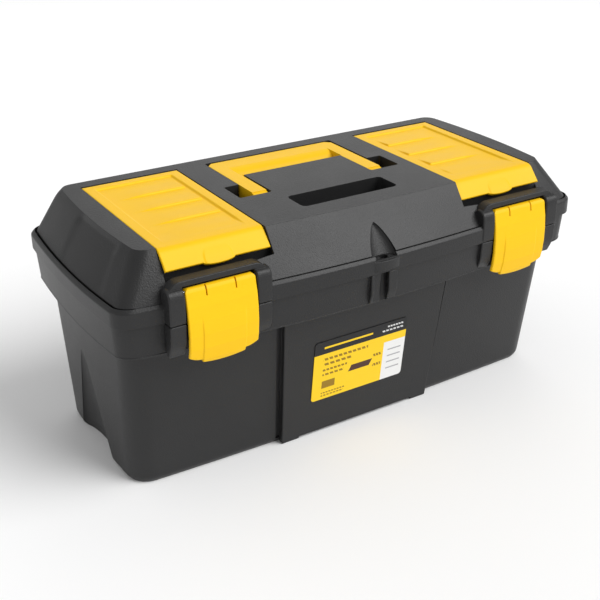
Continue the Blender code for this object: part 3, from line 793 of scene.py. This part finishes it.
@dataclass(frozen=True)
class Lid:
    """The lid: rim, dome, organiser wells, handle recess, tool slot, brackets, eye and knuckles."""

    parting: float = 168.4
    rim_top: float = 184.0
    height: float = 220.0
    crease_rear: float = 27.0
    crease_front: float = -47.0
    crease_depth: float = 1.3

    def path(self) -> np.ndarray:
        """Sections from the rim's lower edge up the outside to the top."""
        sections = [
            (self.parting, 241.3, -113.5, 110.0, 19.5, 6.0, 14.0),
            (181.0, 241.3, -113.5, 110.0, 19.5, 6.0, 14.0),
            (self.rim_top, 239.0, -111.3, 108.3, 19.0, 6.0, 13.0),
            (self.rim_top, 238.2, -110.8, 107.7, 18.5, 6.0, 12.5),
            (179.5, 238.0, -110.6, 107.5, 18.4, 6.0, 12.5), (179.5, 236.3, -108.9, 106.0, 17.5, 6.0, 12.0),
            (self.rim_top, 236.3, -108.9, 106.0, 17.5, 6.0, 12.0),
            (214.0, 215.5, -86.6, 103.5, 10.2, 5.0, 12.0),
            (self.height, 211.0, -82.0, 98.5, 9.0, 5.0, 10.0),
        ]
        return fillet(sections, [1.0, 1.0, 0.0, 0.0, 0.0, 0.0, 6.5, 0.0])

    def outside(self) -> bpy.types.Object:
        """The solid outside, with a shallow panel between two creases down each end."""
        grid = rings(self.path())
        x, y, z = np.moveaxis(grid, -1, 0)
        ends = smooth(np.abs(x), 205.0, 209.0)
        front = smooth(y, self.crease_front - 3.0, self.crease_front + 2.0)
        rear = 1.0 - smooth(y, self.crease_rear - 1.5, self.crease_rear + 4.0) * smooth(z, 190.0, 206.0)
        sunk = front * rear * plateau(z, 188.0, 217.5, 2.0)
        grid[..., 0] = x - np.sign(x) * ends * sunk * self.crease_depth
        return loft("lid_shell", grid)

    def inside(self) -> bpy.types.Object:
        """The hollow under the lid, which keeps clear of what is sunk into its top."""
        sections = [
            (166.4, 235.5, -100.5, 104.0, 14.5, 6.0, 12.0), (181.0, 235.5, -100.5, 104.0, 14.5, 6.0, 12.0),
            (185.0, 232.0, -100.0, 102.5, 14.5, 6.0, 12.0), (217.0, 209.3, -80.0, 96.0, 9.0, 5.0, 9.0),
        ]
        hollow = loft("inside", rings(fillet(sections, [1.5, 3.0])))
        for side in Side:
            well = block("well", side.span(96.0, 193.5), (-110.0, 88.0), (175.5, ABOVE), 1.5)
            combine(hollow, Cut.REMOVE, well)
        combine(hollow, Cut.REMOVE, block("recess", (-87.5, 87.5), (-18.0, 89.0), (197.5, ABOVE), 1.5))
        return combine(hollow, Cut.REMOVE, block("slot", (-52.3, 52.3), (-63.0, -28.0), (197.0, ABOVE), 1.5))

    def sinks(self, lid: bpy.types.Object) -> None:
        """The tool slot, the folded handle's channel, and the pockets outside its arms.

        Args:
            lid: the lid, which is changed.
        """
        slot = prism("slot", rounded_outline((-49.3, 49.3), (-60.0, -31.0), 5.0), 2, 200.2, ABOVE)
        combine(lid, Cut.REMOVE, slot)
        bar = prism("bar", rounded_outline((-69.6, 69.6), (38.0, 84.5), 2.5), 2, 203.0, ABOVE)
        combine(lid, Cut.REMOVE, bar)
        for side in Side:
            arm = prism("arm", rounded_outline(side.span(52.8, 69.6), (-13.2, 45.0), 2.2), 2, 203.0, ABOVE)
            hole = rounded_outline(side.span(67.0, 84.5), (-13.2, 17.8), 2.4)
            pocket = prism("pocket", hole, 2, 205.0, ABOVE)
            combine(lid, Cut.REMOVE, arm, pocket, rod("bore", (-5.0, 211.5), 2.3, side.span(46.0, 78.5)))

    def notch(self) -> bpy.types.Object:
        """The niche up the slope over the eye: an ellipse that leans back and closes in a round arch.

        Its half width is 13 * (1 - share^1.5)^0.75, and its half depth falls from 6.5 to 2.
        """
        turn = np.linspace(0.0, 2.0 * math.pi, 48, endpoint=False)
        share = np.sin(np.linspace(0.0, 0.49 * math.pi, 26))[:, None]
        x = 13.0 * (1.0 - share**1.5) ** 0.75 * np.cos(turn)
        y = -110.0 + 18.5 * share + (6.5 - 4.5 * share) * np.sin(turn)
        return loft("notch", np.stack([x, y, np.broadcast_to(180.9 + 25.6 * share, x.shape)], -1))

    def organiser(self, lid: bpy.types.Object, side: Side) -> None:
        """The seat of one cover, the well under it and the bores of its pin.

        Args:
            lid: the lid, which is changed.
            side: the cover's end.
        """
        seat = [
            (85.3, ABOVE), (85.3, 214.5), (78.5, 214.5), (78.5, 216.8), (-75.4, 216.8), (-85.3, 205.3),
            (-85.3, 195.0), (-93.6, 195.0), (-93.6, 201.4), (PAST_FRONT, 233.0), (PAST_FRONT, 240.0),
            (85.3, 240.0),
        ]
        combine(lid, Cut.REMOVE, prism("seat", seat, 0, *side.span(98.1, 191.4)))
        well = prism("well", rounded_outline(side.span(100.6, 188.9), (-82.0, 76.5), 4.0), 2, 178.0, ABOVE)
        combine(lid, Cut.REMOVE, well, rod("bore", (82.2, 217.5), 1.2, side.span(96.4, 193.1), sides=16))

    def bracket(self, lid: bpy.types.Object, side: Side) -> None:
        """One latch's bracket: a frame with cut-off top corners, and a proud block on each post.

        Args:
            lid: the lid, which is changed.
            side: the latch's end.
        """
        combine(lid, Cut.REMOVE, block("flat", side.span(122.3, 184.7), (PAST_FRONT, -100.2), (160.0, 197.0)))
        outer = [
            (109.0, self.parting), (109.0, 194.5), (117.0, 202.5), (190.6, 202.5), (198.6, 194.5),
            (198.6, self.parting),
        ]
        inner = [(184.9, self.parting), (184.9, 197.4), (122.3, 197.4), (122.3, self.parting)]
        outline = [(side.value * x, z) for x, z in fillet(outer, [5.0, 5.0, 5.0, 5.0]).tolist() + inner]
        combine(lid, Cut.ADD, prism("frame", outline, 1, -104.9, -94.0, 1.0))
        post = [
            (-97.8, self.parting), (-109.6, self.parting), (-110.2, 172.0), (-110.0, 190.0), (-108.0, 195.6),
            (-103.5, 197.4), (-97.8, 197.4),
        ]
        rounded = fillet(post, [0.0, 2.0, 3.0, 3.0, 0.0])
        for low, high in ((109.0, 122.3), (184.9, 198.6)):
            combine(lid, Cut.ADD, prism("post", rounded, 0, *side.span(low, high), 1.4))
        bore = rod("bore", (-104.0, 192.5), 1.5, side.span(113.5, 193.5), sides=20)
        combine(lid, Cut.REMOVE, bore)

    def hinge(self, lid: bpy.types.Object, side: Side) -> None:
        """The lid's knuckle at one rear hinge, and room for the tub's two.

        Args:
            lid: the lid, which is changed.
            side: the end that the hinge is nearer.
        """
        for low, high in ((125.3, 140.0), (160.0, 174.7)):
            room = block("room", side.span(low, high), (106.5, 120.0), (160.0, 174.0))
            combine(lid, Cut.REMOVE, room)
        web = [(105.0, 168.7), (112.0, 168.7), (115.2, 170.8), (108.0, 178.0), (105.0, 178.0)]
        span = side.span(140.0, 160.0)
        combine(lid, Cut.ADD, prism("web", web, 0, *span), rod("knuckle", (112.0, 168.4), 4.0, span))
        combine(lid, Cut.REMOVE, rod("bore", (112.0, 168.4), 1.8, side.span(120.0, 180.0)))

    def build(self, plastic: bpy.types.Material) -> bpy.types.Object:
        """Makes the lid.

        Args:
            plastic: its finish.

        Returns:
            The lid.
        """
        lid = combine(self.outside(), Cut.REMOVE, self.inside())
        self.sinks(lid)
        combine(lid, Cut.REMOVE, self.notch())
        for side in Side:
            self.organiser(lid, side)
            self.bracket(lid, side)
            self.hinge(lid, side)
        turn = np.linspace(-math.pi / 2.0, math.pi / 2.0, 17)
        nose = np.stack([15.0 * np.sin(turn), -111.5 - 4.5 * np.cos(turn)], -1)
        nose = np.concatenate([[(-15.0, -104.0)], nose, [(15.0, -104.0)]])
        combine(lid, Cut.ADD, prism("eye", nose, 2, 171.0, 180.0, 0.8))
        combine(lid, Cut.REMOVE, rod("eye_hole", (0.0, -108.0), 4.0, (130.0, 190.0), 2))
        return dress(lid, plastic)


@dataclass(frozen=True)
class OrganiserCover:
    """A cover over one organiser: a plate bent down the lid's slope, with four wedges on it."""

    side: Side
    inner: float = 98.6
    outer: float = 190.9
    rear: float = 83.8
    bend: tuple[float, float] = (-77.0, 219.7)
    lip: tuple[float, float] = (-89.5, 205.9)
    thickness: float = 2.6
    border: float = 10.0
    sunk: float = 1.5
    wedges: int = 4
    tab_half: float = 14.0
    tab_reach: float = 2.8
    bend_soft: float = 4.2
    rim_radius: float = 0.8
    proud: float = 0.28
    proud_slope: float = 0.4

    def relief(self, across: np.ndarray, along: np.ndarray, length: float, tip: float) -> np.ndarray:
        """Height above the cover's field, in mm.

        Args:
            across: mm from the inner edge.
            along: mm from the rear edge, down the bend to the lip.
            length: along at the bend.
            tip: along at the lip.

        Returns:
            0 on the border, negative in the field, and more on the wedges and the thumb tab.
        """
        width = self.outer - self.inner
        field = plateau(across, self.border, width - self.border, 0.8) * smooth(along, 8.6, 10.2)
        height = -self.sunk * field * (1.0 - smooth(along, length - 32.0, length - 8.0))
        pitch = (length - 26.0) / self.wedges
        place = (along - 14.0) / pitch
        within = np.mod(place, 1.0)
        climb = smooth(within, 0.12, 0.84) * (1.0 - smooth(within, 0.86, 0.90))
        there = (place > 0.0) & (place < self.wedges)
        start = smooth(across, self.border + 2.4, self.border + 3.2)
        reach = start * (1.0 - smooth(across, 0.5 * width, 0.84 * width))
        fade = 1.0 - smooth(along, length - 34.0, length - 14.0)
        height = height + self.sunk * 1.05 * climb * reach * there * fade
        off = np.hypot(across - width / 2.0, along - (tip - 3.0))
        disc = 1.0 - smooth(off, self.tab_half - 2.6, self.tab_half - 1.2)
        return height + 0.5 * disc * smooth(along, tip - 13.0, tip - 4.0)

    def build(self, plastic: bpy.types.Material) -> bpy.types.Object:
        """Makes the cover: a grid along its bent middle line, raised by relief() on its upper side.

        Args:
            plastic: its finish.

        Returns:
            The cover.
        """
        width = self.outer - self.inner
        length = self.rear - self.bend[0]
        drop = np.array(self.lip) - np.array(self.bend)
        fall = np.linalg.norm(drop)
        tip = length + fall
        edge = np.array([0.0, 0.15, 0.4, 0.8])
        across = np.concatenate([edge, np.linspace(1.3, width - 1.3, 150), width - edge[::-1]])
        along = np.concatenate([edge, np.linspace(1.3, tip - 1.3, 300), tip - edge[::-1]])
        across, along = np.meshgrid(across, along, indexing="ij")
        offset = np.abs(across - width / 2.0) / self.tab_half
        tongue = self.tab_reach * np.sqrt(np.clip(1.0 - offset**2, 0.0, 1.0))
        stretched = along + tongue * smooth(along, tip - 9.0, tip)
        past = stretched - length
        soft = self.bend_soft
        bent = np.where(past < -soft, 0.0, np.where(past > soft, past, (past + soft) ** 2 / (4.0 * soft)))
        direction = drop / fall
        y = self.rear - (stretched - bent) + direction[0] * bent
        z = self.bend[1] + direction[1] * bent
        lean = smooth(past, -soft, soft)
        normal_y, normal_z = direction[1] * lean, 1.0 - lean * (1.0 + direction[0])
        size = np.hypot(normal_y, normal_z)
        normal_y, normal_z = normal_y / size, normal_z / size
        height = self.relief(across, along, length, tip)
        margin = np.minimum(np.minimum(across, width - across), np.minimum(along, tip - along))
        height = height - edge_fall(margin, self.rim_radius)
        height = np.minimum(height, self.proud + self.proud_slope * lean)
        x = self.side.value * (self.inner + across)
        front = np.stack([x, y + normal_y * height, z + normal_z * height], -1)
        depth = self.thickness - 0.2 * lean
        back = np.stack([x, y - normal_y * depth, z - normal_z * depth], -1)
        cover = shell("cover_" + self.side.word, front, back)
        bead = rod("bead", (82.0, 217.35), 1.95, self.side.span(self.inner, self.outer), sides=28)
        combine(cover, Cut.ADD, bead)
        combine(cover, Cut.REMOVE, rod("bore", (82.2, 217.5), 1.2, self.side.span(90.0, 200.0), sides=20))
        return dress(cover, plastic, 40.0)


@dataclass(frozen=True)
class Handle:
    """The folding handle: a wide bar with a rounded grip, on two arms."""

    half: float = 68.4
    rear: float = 83.3
    bar_front: float = 54.0
    arm_inner: float = 54.0
    low: float = 205.0
    top: float = 219.4
    axis: tuple[float, float] = (-5.0, 211.5)
    boss: float = 7.0

    def build(self, plastic: bpy.types.Material) -> bpy.types.Object:
        """Makes the handle.

        Args:
            plastic: its finish.

        Returns:
            The handle.
        """
        inner, front = self.arm_inner, self.bar_front
        right = [
            (inner - 8.0, front), (inner - 3.0, front - 1.6), (inner, front - 7.0), (inner, self.axis[0]),
            (self.half, self.axis[0]), (self.half, self.rear - 5.0), (self.half - 5.0, self.rear),
        ]
        outline = right + [(-x, y) for x, y in reversed(right)]
        handle = prism("handle_body", outline, 2, self.low, self.top)
        for side in Side:
            combine(handle, Cut.ADD, rod("boss", self.axis, self.boss, side.span(inner, self.half), sides=48))
        turn = np.linspace(0.0, math.pi / 2.0, 13)
        curve = np.stack([68.0 - 15.0 * np.sin(turn), 210.4 + 9.2 * np.cos(turn)], -1).tolist()
        slope = [(68.0, ABOVE)] + curve + [(40.0, 210.4), (40.0, ABOVE)]
        combine(handle, Cut.REMOVE, prism("slope", slope, 0, -inner - 1.0, inner + 1.0))
        soften(handle, 1.0, 30.0)
        for side in Side:
            combine(handle, Cut.REMOVE, rod("bore", self.axis, 2.3, side.span(inner - 4.0, self.half + 4.0)))
        return dress(handle, plastic, 40.0)


@dataclass(frozen=True)
class Latch:
    """A bowed latch with two slits at its top and a raised tongue that ends lower than its ears."""

    side: Side
    middle: float = 153.5
    half: float = 30.6
    top: float = 195.7
    ear_end: float = 133.0
    ear_rise: float = 4.2
    tongue_end: float = 128.4
    tongue_rise: float = 2.0
    slit: float = 12.8
    tongue_half: float = 18.8
    corner: float = 4.2
    rim_radius: float = 1.2
    axis: tuple[float, float] = (-104.0, 192.5)

    def face(self, z: np.ndarray) -> tuple[np.ndarray, np.ndarray]:
        """The front and the back of the latch's section at a height, by straight interpolation.

        Args:
            z: heights.

        Returns:
            Y of the front and Y of the back, each in the shape of z.
        """
        heights = [127.5, 133.0, 144.0, 156.0, 168.0, 180.0, 188.0, 192.5, 195.0, 195.7]
        front = [-106.6, -108.6, -111.0, -112.0, -111.8, -110.5, -108.6, -107.8, -106.4, -104.4]
        back = [-104.2, -106.0, -108.4, -109.5, -109.3, -108.0, -105.6, -100.9, -101.4, -103.6]
        return np.interp(z, heights, front), np.interp(z, heights, back)

    def build(self, plastic: bpy.types.Material) -> bpy.types.Object:
        """Makes the latch: a grid across and down it, cut by its slits.

        Args:
            plastic: its finish.

        Returns:
            The latch.
        """
        step = self.tongue_half
        near = np.array([0.0, 0.12, 0.35, 0.7, 1.2])
        rise = np.linspace(step - 0.5, step + 0.5, 7)
        flat = np.linspace(step + 1.2, self.half - 2.0, 12)
        right = np.concatenate([np.linspace(0.0, step - 1.2, 20), rise, flat])
        right = np.concatenate([right, self.half - near[::-1]])
        across = np.concatenate([-right[:0:-1], right])
        share = np.concatenate([near / 66.0, np.linspace(0.03, 0.97, 90), 1.0 - near[::-1] / 66.0])
        across, share = np.meshgrid(across, share, indexing="ij")
        over = np.clip((np.abs(across) - (self.half - self.corner)) / self.corner, 0.0, 1.0)
        top = self.top - self.corner * (1.0 - np.sqrt(1.0 - over**2))
        tongue = 1.0 - smooth(np.abs(across), step - 0.5, step + 0.5)
        out = np.clip((np.abs(across) - step) / (self.half - step), 0.0, 1.0)
        ear = self.ear_end + self.ear_rise * out**2
        middle = self.tongue_end + self.tongue_rise * np.minimum(np.abs(across) / step, 1.0) ** 2
        end = ear + (middle - ear) * tongue
        z = top + (end - top) * share
        front, back = self.face(z)
        raised = 0.7 * tongue * (1.0 - smooth(z, 158.0, 176.0))
        margin = np.minimum(self.half - np.abs(across), z - end)
        roll = edge_fall(margin, self.rim_radius)
        x = self.side.value * self.middle + across
        outer = np.stack([x, front - raised + roll, z], -1)
        inner = np.stack([x, np.maximum(back, front - raised + roll + 0.5), z], -1)
        latch = shell("latch_plate_" + self.side.word, outer, inner)
        for offset in (-self.slit, self.slit):
            low = self.side.value * self.middle + offset - 0.6
            combine(latch, Cut.REMOVE, block("slit", (low, low + 1.2), (-120.0, -103.8), (187.6, 200.0)))
        hook = [(-109.6, 139.5), (-104.3, 140.6), (-104.3, 142.6), (-109.6, 143.8)]
        span = (self.side.value * self.middle - 20.0, self.side.value * self.middle + 20.0)
        combine(latch, Cut.ADD, prism("hook", hook, 0, *span))
        bore = self.side.span(110.0, 200.0)
        combine(latch, Cut.REMOVE, rod("bore", self.axis, 1.5, bore, sides=20))
        return dress(latch, plastic, 38.0)


@dataclass(frozen=True)
class FrontLabel:
    """The label: a thin sheet with round corners that leans with the panel."""

    left: float = -54.0
    right: float = 46.0
    low: float = 38.0
    high: float = 101.5
    lean: float = 17.0 / 136.0
    foot: float = -73.0
    thickness: float = 0.35

    def build(self, print_finish: bpy.types.Material) -> bpy.types.Object:
        """Makes the label as two rounded outlines that lie on the leaning panel.

        Args:
            print_finish: its print.

        Returns:
            The label.
        """
        outline = rounded_outline((self.left, self.right), (self.low, self.high), 3.0)
        x, z = outline.T
        near = self.foot - self.lean * z - 0.3
        grid = np.stack([np.stack([x, near - self.thickness, z], -1), np.stack([x, near, z], -1)])
        return dress(loft("label_sheet", grid), print_finish)


@dataclass(frozen=True)
class Tray:
    """The lift-out tray: a stepped shell on the tub's ledge, with a spine, dividers and a grip."""

    bottom: float = 100.0
    rest: float = 142.3
    top: float = 160.0
    wall: float = 2.5
    grip_top: float = 166.0

    def path(self) -> np.ndarray:
        """Sections up the outside, over the rim and down the inside to the floor."""
        inner = self.rest + self.wall
        sections = [
            (self.bottom, 220.0, -73.5, 90.5, 7.0, 4.0, 15.0),
            (self.rest, 223.5, -79.5, 94.0, 7.5, 4.5, 15.0),
            (self.rest, 232.0, -97.5, 101.0, 14.5, 6.0, 11.0),
            (self.top, 233.0, -98.5, 102.0, 14.5, 6.0, 11.0),
            (self.top, 230.5, -96.0, 99.5, 14.5, 6.0, 9.0), (inner, 229.5, -95.0, 98.5, 14.5, 6.0, 9.0),
            (inner, 221.0, -77.0, 91.5, 7.5, 4.5, 12.5),
            (self.bottom + self.wall, 217.5, -71.0, 88.0, 7.0, 4.0, 12.5),
        ]
        return fillet(sections, [0.0, 0.6, 0.9, 0.9, 1.2, 1.5])

    def build(self, plastic: bpy.types.Material) -> bpy.types.Object:
        """Makes the tray.

        Args:
            plastic: its finish.

        Returns:
            The tray.
        """
        tray = loft("tray_shell", rings(self.path()))
        floor = self.bottom + 1.0
        combine(tray, Cut.ADD, block("spine", (-219.0, 219.0), (9.0, 12.0), (floor, 152.0), 0.6))
        for middle, low, high in ((75.0, -73.0, 10.0), (120.0, 11.0, 90.0)):
            for x in (-middle, middle):
                combine(tray, Cut.ADD, block("divider", (x - 1.2, x + 1.2), (low, high), (floor, 140.0), 0.5))
        combine(tray, Cut.ADD, block("grip", (-62.0, 62.0), (4.0, 17.0), (145.0, self.grip_top), 2.2))
        hole = prism("hole", rounded_outline((-48.0, 48.0), (124.0, 158.0), 8.0), 1, 0.0, 20.0)
        combine(tray, Cut.REMOVE, hole)
        return dress(tray, plastic)


@dataclass(frozen=True)
class Studio:
    """The floor, the lights and the camera."""

    azimuth: float = -32.3
    elevation: float = 26.0
    distance: float = 985.2
    aim: float = 100.0
    focal: float = 1025.9
    frame: float = 600.0
    centre: tuple[float, float] = (315.1, 294.9)
    sensor: float = 36.0

    def back(self) -> Vector:
        """The direction from what is aimed at to the camera."""
        turn, rise = math.radians(self.azimuth), math.radians(self.elevation)
        return Vector((math.sin(turn) * math.cos(rise), -math.cos(turn) * math.cos(rise), math.sin(rise)))

    def camera(self) -> None:
        """Sets up the camera, with the small shift that frames the box."""
        data = bpy.data.cameras.new("camera")
        data.sensor_width = self.sensor
        data.lens = self.focal * self.sensor / self.frame
        data.shift_x = (self.frame / 2.0 - self.centre[0]) / self.frame
        data.shift_y = (self.centre[1] - self.frame / 2.0) / self.frame
        data.clip_start = 0.01
        data.clip_end = 100.0
        camera = bpy.data.objects.new("camera", data)
        bpy.context.scene.collection.objects.link(camera)
        camera.location = (Vector((0.0, 0.0, self.aim)) + self.back() * self.distance) * MM
        camera.rotation_euler = self.back().to_track_quat("Z", "Y").to_euler()
        bpy.context.scene.camera = camera

    def light(self, name: str, place: tuple, size: float, power: float) -> None:
        """A square soft light at a place in metres that faces the box's middle.

        Args:
            name: the light's name.
            place: where it stands.
            size: length of its side in metres.
            power: its power in watts.
        """
        data = bpy.data.lights.new(name, "AREA")
        data.shape = "SQUARE"
        data.size = size
        data.energy = power
        made = bpy.data.objects.new(name, data)
        bpy.context.scene.collection.objects.link(made)
        made.location = place
        made.rotation_euler = (Vector(place) - Vector((0.0, 0.0, 0.1))).to_track_quat("Z", "Y").to_euler()

    def sun(self, name: str, towards: tuple, power: float, spread: float) -> None:
        """A wide distant light that comes from a direction, spread over an angle in degrees.

        Args:
            name: the light's name.
            towards: the direction that it comes from.
            power: its strength.
            spread: how wide it looks.
        """
        data = bpy.data.lights.new(name, "SUN")
        data.energy = power
        data.angle = math.radians(spread)
        made = bpy.data.objects.new(name, data)
        bpy.context.scene.collection.objects.link(made)
        made.rotation_euler = Vector(towards).to_track_quat("Z", "Y").to_euler()

    def world(self, strength: float) -> None:
        """An even pale surround.

        Args:
            strength: its brightness.
        """
        world = bpy.data.worlds.new("surround")
        world.use_nodes = True
        surround = world.node_tree.nodes["Background"]
        surround.inputs["Color"].default_value = (1.0, 1.0, 1.0, 1.0)
        surround.inputs["Strength"].default_value = strength
        bpy.context.scene.world = world

    def floor(self) -> None:
        """A wide pale floor just under the box."""
        shader = Shader("floor")
        colour = shader.blend(shader.noise(300.0), (0.94, 0.94, 0.94, 1.0), (0.96, 0.96, 0.96, 1.0))
        finish = shader.finish(Base_Color=colour, Roughness=0.9)
        corners = np.array([(-6.0, -6.0), (6.0, -6.0), (6.0, 6.0), (-6.0, 6.0)]) / MM
        ground = to_object("floor", np.column_stack([corners, np.full(4, -0.2)]), [[0, 1, 2, 3]])
        ground.data.materials.append(finish)

    def build(self) -> None:
        """Makes everything that isn't the box, and keeps its colours as they are lit."""
        bpy.context.scene.view_settings.view_transform = "Standard"
        self.camera()
        self.world(0.5)
        self.floor()
        self.sun("key", (0.48, -0.57, 0.67), 2.55, 45.0)
        self.light("back", (0.9, 1.5, 0.95), 1.3, 3.4)
        self.light("left", (-1.7, 0.3, 0.5), 1.0, 2.5)


def place(piece: bpy.types.Object, body: str, slot: str, node: str) -> None:
    """Ties a piece to its body in place of a CAD node, and reports it.

    Args:
        piece: the object.
        body: the body that it moves with.
        slot: not used.
        node: the node that it stands in for.
    """
    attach(piece, body)
    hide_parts(node)
    LOG.info("%s rides on %s: %d faces", piece.name, body, len(piece.data.polygons))


def corners(box: tuple) -> list:
    """A box's two corners as plain lists of numbers."""
    return [[float(value) for value in corner] for corner in box]


def main() -> None:
    """Builds the box's pieces in order round the frame; place() logs each one's face count."""
    logging.basicConfig(level=logging.INFO, format="%(name)s: %(message)s")
    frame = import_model()
    black, yellow, wire, label = BLACK.build(), YELLOW.build(), HingeWire().build(), Print().build()
    Studio().build()
    place(Tub().build(black), "tub", "black_plastic", "tub")
    place(FrontLabel().build(label), "tub", "label", "front_label")
    place(Tray().build(black), "tray", "black_plastic", "tray")
    place(Lid().build(black), "lid", "black_plastic", "lid")
    place(Handle().build(yellow), "handle", "yellow_plastic", "handle")
    for side in Side:
        cover, latch = "organiser_cover_" + side.word, "latch_" + side.word
        place(OrganiserCover(side).build(yellow), cover, "yellow_plastic", cover)
        place(Latch(side).build(yellow), latch, "yellow_plastic", latch)
    for name, node in frame["nodes"].items():
        if "_pin_" in name:
            for holder in node.material_slots:
                holder.material = wire


if __name__ == "__main__":
    main()
